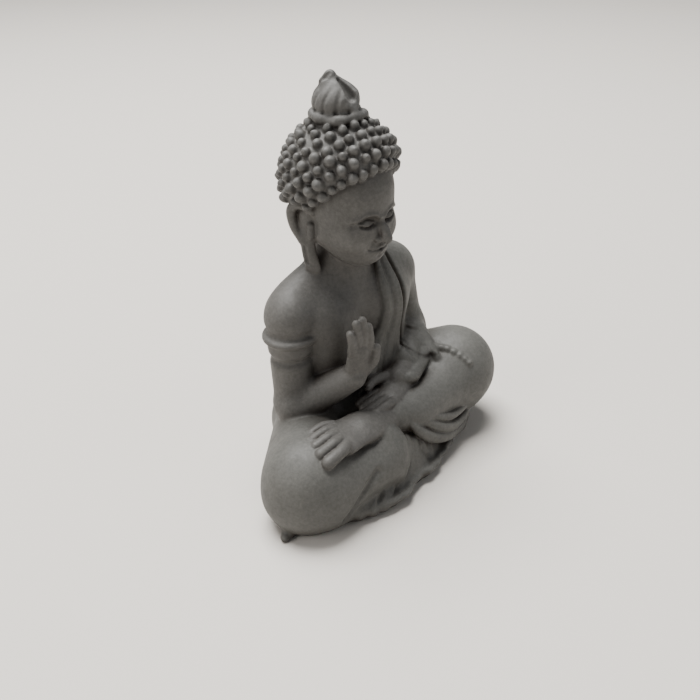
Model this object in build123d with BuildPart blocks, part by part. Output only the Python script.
"""A small seated Buddha figurine, cast in grey stone resin.

The figure sits cross-legged in half lotus on its own hem, right hand raised and left hand open in the lap.
It faces -Y, with its right side towards -X. The origin is on the table under the middle of the figure.
Every sculpted member is one node, cut to meet its neighbours face to face. All sizes are in millimetres.
"""

import os
from math import asin, cos, hypot, pi, sin

from build123d import *

# Driving dimensions
HEIGHT = 50.0
KNEE_SPAN = 41.0
DEPTH = 23.5

FRONT = -DEPTH / 2
BACK = DEPTH / 2
KNEE_X = KNEE_SPAN / 2

# Base
HEM_THICKNESS = 1.4
HEM_CORNER_RADIUS = 4.2
HEM_CORNERS = (
    (-13.2, -3.8), (-4.2, FRONT + HEM_CORNER_RADIUS), (9.8, -2.9), (13.4, -0.8),
    (5.0, BACK - HEM_CORNER_RADIUS), (-5.0, BACK - HEM_CORNER_RADIUS),
)
HEM_NUB = (-18.0, -4.9)
HEM_NUB_RADIUS = 1.8

# Legs
THIGH_RADIUS = 5.6
KNEE_RADIUS = 5.7
HIP = (6.2, 4.4, THIGH_RADIUS + 0.2)
RIGHT_KNEE = (-(KNEE_X - KNEE_RADIUS), -3.6, KNEE_RADIUS + 0.2)
LEFT_KNEE = (KNEE_X - KNEE_RADIUS, -2.2, 7.4)
RIGHT_CALF_RADIUS = 4.6
LEFT_CALF_RADIUS = 4.5
RIGHT_CALF = ((-13.6, -4.6, 4.9), (-3.4, -7.2, 3.8))
LEFT_CALF = ((12.9, -3.5, 7.25), (1.0, -6.1, 7.2))
RIGHT_SHIN_RADIUS = 3.3
LEFT_SHIN_RADIUS = 3.0
ANKLE = (-1.6, -7.2, 7.6)
FOOT_BALL = (-10.9, -5.6, 11.2)
FOOT_HALF_WIDTH = 2.3
FOOT_THICKNESS = 1.5
TOE_COUNT = 5
TOE_PITCH = 1.05
BIG_TOE_RADIUS = 0.75
SMALL_TOE_RADIUS = 0.55
TOE_LENGTH = 1.9

# Torso, built from a pair of tall limbs with a shoulder yoke across them
WAIST = (3.0, 5.1, 11.0)
CHEST = (4.1, 5.5, 20.8)
WAIST_RADIUS = 4.5
CHEST_RADIUS = 5.1
YOKE = (7.6, 5.4, 23.3)
YOKE_RADIUS = 2.9
HIP_JOINT = (5.6, BACK - 6.0, 5.4)
HIP_RADIUS = 6.0
NECK = ((0, 5.4, 26.4), (0, 4.7, 31.6))
NECK_RADIUS = 2.7
SHOULDER = (8.8, 5.1, 23.1)
SHOULDER_RADIUS = 3.3

# Robe
CLOTH = 0.6
BAND_WIDTH = 2.4
BAND_TOP = (4.6, 24.8)
BAND_FOOT = (1.0, 11.0)
BACK_HEM_TOP = (-3.0, 27.5)
BACK_HEM_FOOT = (-9.5, 9.0)

# Right arm
ELBOW_SHARE = 0.06
RIGHT_ELBOW = (-10.2, 3.6, 11.4)
RIGHT_WRIST = (-4.6, -2.7, 15.0)
UPPER_ARM_RADIUS = 2.75
ELBOW_RADIUS = 2.6
WRIST_RADIUS = 1.75
ARMLET_PLACE = 0.27
ARMLET_HEIGHT = 1.9
ARMLET_PROUD = 0.45
RIGHT_PALM_TOP = (-4.7, -3.7, 18.9)
PALM_HALF_WIDTH = 1.7
PALM_THICKNESS = 1.3
FINGER_RADIUS = 0.55
RIGHT_FINGER_TIPS = ((-5.7, -4.1, 22.3), (-5.1, -4.0, 23.2), (-4.4, -3.9, 23.1), (-3.7, -4.0, 21.9))
RIGHT_THUMB = ((-3.1, -4.2, 16.6), (-3.2, -5.2, 19.5))

# Left arm
LEFT_ELBOW = (11.2, 4.6, 13.4)
LEFT_WRIST = (4.8, -2.3, 12.2)
SLEEVE_RADIUS = 3.1
CUFF_RADIUS = 2.4
LEFT_HAND_RADIUS = 1.5
LEFT_PALM = ((4.5, -2.4, 12.3), (0.8, -3.8, 12.3))
LEFT_FINGER_START = (0.0, -4.2, 12.1)
LEFT_FINGER_LENGTH = 3.9
LEFT_THUMB = ((1.6, -2.8, 13.2), (-1.2, -2.5, 13.4))

# Head
SKULL = (0, 3.0, 36.6)
JAW = (0, 1.2, 32.0)
SKULL_RADIUS = 5.2
JAW_RADIUS = 3.5
NOSE_TOP = (0, -2.4, 36.8)
NOSE_TIP = (0, -3.6, 34.0)
HAIR_CENTRE = (0, 4.2, 38.0)
HAIR_RADIUS = 7.0
HAIRLINE_TILT = 38.0
HAIRLINE_BELOW_CENTRE = 1.9
EAR_TOP = (5.1, 3.4, 36.2)
EAR_FOOT = (4.5, 2.6, 28.8)
EAR_RADIUS = 1.15
LOBE_RADIUS = 0.75
CURL_RADIUS = 0.6
CURL_PITCH = 1.28
CURL_RISE = 0.1

# Finial on the crown
FINIAL_AXIS = (0, 4.9)
MOUND_Z = 42.6
MOUND_RADII = (4.3, 3.0)
RING_Z = 44.9
RING_RADIUS = 2.55
RING_TUBE = 0.6
BUD_Z = 45.0
BUD_RADIUS = 2.65
BUD_TIP_RADIUS = 0.4

# Skirt between and under the legs
APRON_TOP = (2.4, -8.0, 4.8)
APRON_FOOT = (2.2, -10.5, 1.25)
APRON_PLEATS = 7
APRON_PITCH = (0.8, 1.45)
APRON_BOW = 0.35
APRON_PLEAT_RADIUS = (0.7, 1.15)
SWAG_COUNT = 3
SWAG_DROP = 0.95
SWAG_RADIUS = 0.8
SWAG_POINTS = ((7.6, -8.0, 5.0), (11.4, -8.5, 3.9), (15.2, -6.9, 5.2))


def lies_between(start, end, share):
    """The point that share of the way from start to end."""
    return tuple(Vector(*start) + (Vector(*end) - Vector(*start)) * share)


def limb(start, end, start_radius, end_radius, mode=Mode.ADD):
    """A tapering limb with round ends: a line and the two arcs that it is tangent to, revolved about its axis."""
    axis = Vector(*end) - Vector(*start)
    length = axis.length
    slope = asin((start_radius - end_radius) / length)
    helper = Vector(0, 0, 1) if abs(axis.Z) < 0.9 * length else Vector(1, 0, 0)
    across = axis.cross(helper).normalized()
    profile_plane = Plane(origin=start, x_dir=axis.normalized(), z_dir=across)

    def on_end(middle, radius, angle):
        return (middle + radius * sin(angle), radius * cos(angle))

    start_tangent = on_end(0, start_radius, slope)
    end_tangent = on_end(length, end_radius, slope)
    with BuildSketch(profile_plane) as profile:
        with BuildLine():
            ThreePointArc(
                (-start_radius, 0), on_end(0, start_radius, (slope - pi / 2) / 2), start_tangent
            )
            Line(start_tangent, end_tangent)
            ThreePointArc(
                end_tangent, on_end(length, end_radius, (slope + pi / 2) / 2), (length + end_radius, 0)
            )
            Line((length + end_radius, 0), (-start_radius, 0))
        make_face()
    revolve(profile.sketch, axis=Axis(start, axis), mode=mode)


whole_shapes = {}


def cut_from(*neighbours):
    """Cuts the neighbours' whole shapes away from the current member, so that they meet face to face.

    A neighbour's shape from before its own cuts is used, so that the cut never runs along a shared face.
    """
    member = BuildPart._get_context()
    whole_shapes[member] = member.part
    for neighbour in neighbours:
        add(whole_shapes.get(neighbour, neighbour.part), mode=Mode.SUBTRACT)


def keep_above_table():
    """Cuts away what reaches below the table."""
    Box(3 * KNEE_SPAN, 3 * DEPTH, HEIGHT, align=(Align.CENTER, Align.CENTER, Align.MAX), mode=Mode.SUBTRACT)


def torso_mass(extra):
    """The torso's limbs, each grown by extra."""
    for side in (-1, 1):
        limb(
            (side * WAIST[0], *WAIST[1:]), (side * CHEST[0], *CHEST[1:]),
            WAIST_RADIUS + extra, CHEST_RADIUS + extra,
        )
        limb((0, *CHEST[1:]), (side * YOKE[0], *YOKE[1:]), CHEST_RADIUS + extra, YOKE_RADIUS + extra)


# Base and legs
with BuildPart() as base_hem:
    with BuildSketch():
        with Locations(*HEM_CORNERS):
            Circle(HEM_CORNER_RADIUS)
        make_hull()
        with Locations(HEM_NUB):
            Circle(HEM_NUB_RADIUS)
    extrude(amount=HEM_THICKNESS)

with BuildPart() as right_thigh:
    limb((-HIP[0], HIP[1], HIP[2]), RIGHT_KNEE, THIGH_RADIUS, KNEE_RADIUS)
    cut_from(base_hem)

with BuildPart() as left_thigh:
    limb(HIP, LEFT_KNEE, THIGH_RADIUS, KNEE_RADIUS)
    cut_from(base_hem)

with BuildPart() as hips:
    limb((-HIP_JOINT[0], *HIP_JOINT[1:]), HIP_JOINT, HIP_RADIUS, HIP_RADIUS)
    keep_above_table()
    cut_from(base_hem, right_thigh, left_thigh)

with BuildPart() as right_calf:
    limb(*RIGHT_CALF, RIGHT_CALF_RADIUS, RIGHT_SHIN_RADIUS)
    cut_from(base_hem, right_thigh, hips, left_thigh)

with BuildPart() as left_calf:
    limb(*LEFT_CALF, LEFT_CALF_RADIUS, LEFT_SHIN_RADIUS)
    cut_from(left_thigh, right_calf)

with BuildPart() as left_foot:
    for side in (-1, 0, 1):
        ball = (FOOT_BALL[0], FOOT_BALL[1] + side * (FOOT_HALF_WIDTH - FOOT_THICKNESS / 2), FOOT_BALL[2])
        heel = (ANKLE[0] + abs(side), ANKLE[1] + side * FOOT_THICKNESS / 2, ANKLE[2])
        limb(heel, ball, FOOT_THICKNESS * 1.2, FOOT_THICKNESS)
    cut_from(right_thigh, right_calf, left_thigh, left_calf, hips)

with BuildPart() as left_toes:
    for index in range(TOE_COUNT):
        share = index / (TOE_COUNT - 1)
        radius = BIG_TOE_RADIUS + (SMALL_TOE_RADIUS - BIG_TOE_RADIUS) * share
        y = FOOT_BALL[1] + TOE_PITCH * (index - (TOE_COUNT - 1) / 2)
        toe_root = (FOOT_BALL[0] - FOOT_THICKNESS / 2, y, FOOT_BALL[2])
        toe_tip = (FOOT_BALL[0] - FOOT_THICKNESS - TOE_LENGTH * (1 - share / 3), y, FOOT_BALL[2] + 0.1)
        limb(toe_root, toe_tip, radius, radius * 0.9)
    cut_from(left_foot, right_thigh, right_calf)

# Skirt
with BuildPart() as skirt_apron:
    for index in range(APRON_PLEATS):
        step = index - (APRON_PLEATS - 1) / 2
        bow = APRON_BOW * abs(step)
        pleat_top = (APRON_TOP[0] + APRON_PITCH[0] * step, APRON_TOP[1], APRON_TOP[2])
        pleat_foot = (APRON_FOOT[0] + APRON_PITCH[1] * step, APRON_FOOT[1] + bow, APRON_FOOT[2])
        limb(pleat_top, pleat_foot, *APRON_PLEAT_RADIUS)
    cut_from(base_hem, right_calf, left_calf)

with BuildPart() as skirt_swags:
    for index in range(SWAG_COUNT):
        start, middle, end = ((x, y, z - SWAG_DROP * index) for x, y, z in SWAG_POINTS)
        limb(start, middle, SWAG_RADIUS * 0.8, SWAG_RADIUS)
        limb(middle, end, SWAG_RADIUS, SWAG_RADIUS * 0.9)
    cut_from(base_hem, left_calf, left_thigh)

# Torso, neck and robe
with BuildPart() as torso:
    torso_mass(0)
    cut_from(hips, right_thigh, left_thigh, right_calf, left_calf, left_foot)

with BuildPart() as neck:
    limb(*NECK, NECK_RADIUS, NECK_RADIUS)
    cut_from(torso)

with BuildPart() as robe_band:
    torso_mass(CLOTH)
    with BuildSketch(Plane.XZ.offset(-WAIST[1])):
        with BuildLine():
            Polyline(
                BAND_TOP,
                (BAND_TOP[0] + BAND_WIDTH, BAND_TOP[1] + 1),
                (BAND_FOOT[0] + BAND_WIDTH, BAND_FOOT[1]),
                BAND_FOOT,
                BAND_TOP,
            )
        make_face()
    extrude(amount=DEPTH, mode=Mode.INTERSECT)
    cut_from(torso, neck, hips, left_thigh, left_calf, right_thigh, left_foot)

with BuildPart() as robe_back:
    torso_mass(CLOTH)
    with BuildSketch(Plane.XZ.offset(-WAIST[1])):
        with BuildLine():
            Polyline(
                BACK_HEM_TOP,
                (KNEE_X, BACK_HEM_TOP[1]),
                (KNEE_X, BACK_HEM_FOOT[1]),
                BACK_HEM_FOOT,
                BACK_HEM_TOP,
            )
        make_face()
    extrude(amount=-DEPTH, mode=Mode.INTERSECT)
    cut_from(torso, neck, hips, left_thigh, right_thigh, robe_band)

# Right arm
arm_top = (-SHOULDER[0] - 0.3, SHOULDER[1] - 0.2, SHOULDER[2] - 1)
with BuildPart() as right_shoulder:
    limb((-SHOULDER[0] + 1, SHOULDER[1], SHOULDER[2]), arm_top, SHOULDER_RADIUS, SHOULDER_RADIUS)
    cut_from(torso, robe_back)

with BuildPart() as right_upper_arm:
    limb(arm_top, RIGHT_ELBOW, UPPER_ARM_RADIUS, ELBOW_RADIUS)
    cut_from(right_shoulder, torso, robe_back, right_thigh)

arm_line = Vector(*RIGHT_ELBOW) - Vector(*arm_top)
armlet_plane = Plane(origin=lies_between(arm_top, RIGHT_ELBOW, ARMLET_PLACE), z_dir=arm_line)
with BuildPart() as right_armlet:
    with BuildSketch(armlet_plane):
        Circle(UPPER_ARM_RADIUS + ARMLET_PROUD)
    extrude(amount=ARMLET_HEIGHT)
    fillet(right_armlet.edges(), radius=ARMLET_PROUD)
    cut_from(right_upper_arm, right_shoulder, torso, robe_back)

with BuildPart() as right_forearm:
    limb(lies_between(RIGHT_ELBOW, RIGHT_WRIST, ELBOW_SHARE), RIGHT_WRIST, ELBOW_RADIUS * 1.02, WRIST_RADIUS)
    cut_from(right_upper_arm, torso, right_thigh, left_foot, robe_band)

with BuildPart() as right_palm:
    for side in (-1, 1):
        offset = side * (PALM_HALF_WIDTH - PALM_THICKNESS)
        heel = (RIGHT_WRIST[0] + offset, RIGHT_WRIST[1] - 0.3, RIGHT_WRIST[2])
        knuckles = (RIGHT_PALM_TOP[0] + 2 * offset, *RIGHT_PALM_TOP[1:])
        limb(heel, knuckles, PALM_THICKNESS, PALM_THICKNESS * 0.8)
    cut_from(right_forearm, torso, robe_band)

with BuildPart() as right_fingers:
    for tip in RIGHT_FINGER_TIPS:
        root = (tip[0] * 0.7 + RIGHT_PALM_TOP[0] * 0.3, RIGHT_PALM_TOP[1] - 0.1, RIGHT_PALM_TOP[2])
        limb(root, tip, FINGER_RADIUS * 1.15, FINGER_RADIUS)
    cut_from(right_palm)

with BuildPart() as right_thumb:
    limb(*RIGHT_THUMB, FINGER_RADIUS * 1.3, FINGER_RADIUS)
    cut_from(right_palm)

# Left arm
with BuildPart() as left_sleeve:
    limb((SHOULDER[0] - 0.4, SHOULDER[1], SHOULDER[2]), LEFT_ELBOW, SHOULDER_RADIUS + 0.2, SLEEVE_RADIUS)
    cut_from(torso, robe_back, robe_band, left_thigh)

with BuildPart() as left_cuff:
    limb(lies_between(LEFT_ELBOW, LEFT_WRIST, ELBOW_SHARE), LEFT_WRIST, SLEEVE_RADIUS * 1.02, CUFF_RADIUS)
    cut_from(left_sleeve, torso, left_thigh, left_calf, robe_band, robe_back)

with BuildPart() as left_palm:
    limb(*LEFT_PALM, LEFT_HAND_RADIUS * 1.1, LEFT_HAND_RADIUS)
    cut_from(left_cuff, left_calf, left_foot, torso, left_thigh, right_palm, right_forearm)

with BuildPart() as left_fingers:
    for index in range(4):
        y = LEFT_FINGER_START[1] + (index - 1.5) * FINGER_RADIUS * 1.7
        limb(
            (LEFT_FINGER_START[0], y, LEFT_FINGER_START[2]),
            (LEFT_FINGER_START[0] - LEFT_FINGER_LENGTH, y + 0.2 * (index - 1.5), LEFT_FINGER_START[2]),
            FINGER_RADIUS * 1.2, FINGER_RADIUS,
        )
    cut_from(left_palm, left_foot)

with BuildPart() as left_thumb:
    limb(*LEFT_THUMB, FINGER_RADIUS * 1.4, FINGER_RADIUS)
    cut_from(left_palm)

# Head
hairline = Plane(origin=HAIR_CENTRE).rotated((-HAIRLINE_TILT, 0, 0)).offset(-HAIRLINE_BELOW_CENTRE)
with BuildPart() as hair_cap:
    with Locations(HAIR_CENTRE):
        Sphere(HAIR_RADIUS)
    split(bisect_by=hairline, keep=Keep.TOP)

with BuildPart() as head:
    limb(SKULL, JAW, SKULL_RADIUS, JAW_RADIUS)
    limb(NOSE_TOP, NOSE_TIP, 0.5, 0.75)
    cut_from(hair_cap, neck)

with BuildPart() as right_ear:
    ear_middle = lies_between(EAR_TOP, EAR_FOOT, 0.35)
    limb(*((-x, y, z) for x, y, z in (EAR_TOP, ear_middle)), EAR_RADIUS, EAR_RADIUS * 0.8)
    limb(*((-x, y, z) for x, y, z in (ear_middle, EAR_FOOT)), EAR_RADIUS * 0.8, LOBE_RADIUS)
    cut_from(head, hair_cap, neck, torso)

with BuildPart() as left_ear:
    limb(EAR_TOP, ear_middle, EAR_RADIUS, EAR_RADIUS * 0.8)
    limb(ear_middle, EAR_FOOT, EAR_RADIUS * 0.8, LOBE_RADIUS)
    cut_from(head, hair_cap, neck, torso)

# Crown
with BuildPart() as crown_mound:
    with BuildSketch(Plane.XY.offset(MOUND_Z)):
        with Locations(FINIAL_AXIS):
            Circle(MOUND_RADII[0])
    with BuildSketch(Plane.XY.offset(RING_Z)):
        with Locations(FINIAL_AXIS):
            Circle(MOUND_RADII[1])
    loft()
    cut_from(hair_cap)

with BuildPart() as finial_ring:
    with Locations((*FINIAL_AXIS, RING_Z + RING_TUBE / 2)):
        Torus(RING_RADIUS, RING_TUBE)
    cut_from(crown_mound)

with BuildPart() as finial_bud:
    bud_middle = (*FINIAL_AXIS, BUD_Z + BUD_RADIUS * 0.8)
    bud_tip = (*FINIAL_AXIS, HEIGHT - BUD_TIP_RADIUS)
    limb(bud_middle, bud_tip, BUD_RADIUS, BUD_TIP_RADIUS)
    cut_from(finial_ring, crown_mound, hair_cap)

# Hair curls, one dome repeated in rows that run parallel to the hairline
with BuildPart() as curl:
    with Locations((0, 0, HAIR_RADIUS + CURL_RISE)):
        Sphere(CURL_RADIUS)
    Sphere(HAIR_RADIUS, mode=Mode.SUBTRACT)


def curl_places():
    """The turned places of the curls, row by row from the hairline up, clear of the crown's mound."""
    pitch_angle = CURL_PITCH / HAIR_RADIUS
    hairline_angle = pi / 2 + asin(HAIRLINE_BELOW_CENTRE / HAIR_RADIUS)
    polar = hairline_angle - 0.55 * pitch_angle
    row = 0
    places = []
    while polar > 0.5 * pitch_angle:
        count = int(2 * pi * sin(polar) / pitch_angle)
        for index in range(count):
            turn = 360 * (index + row % 2 / 2) / count
            tilt = Rotation(-HAIRLINE_TILT, 0, 0) * Rotation(0, 0, turn) * Rotation(0, polar * 180 / pi, 0)
            place = Pos(*HAIR_CENTRE) * tilt
            top = (place * Pos(0, 0, HAIR_RADIUS)).position
            clear = hypot(top.X - FINIAL_AXIS[0], top.Y - FINIAL_AXIS[1]) > MOUND_RADII[0] + CURL_RADIUS
            ear_gap = (Vector(abs(top.X), top.Y, top.Z) - Vector(*EAR_TOP)).length
            beside_ear = ear_gap < EAR_RADIUS + CURL_RADIUS
            if clear and not beside_ear:
                places.append(place)
        polar -= pitch_angle
        row += 1
    return places


hair_curls = Compound([place * curl.part.solid() for place in curl_places()])

members = {
    name: thing.part
    for name, thing in list(globals().items())
    if isinstance(thing, BuildPart) and name != "curl"
}
members["hair_curls"] = hair_curls
os.makedirs("parts", exist_ok=True)
for name, member in members.items():
    member.label = name
    export_step(member, f"parts/{name}.step")
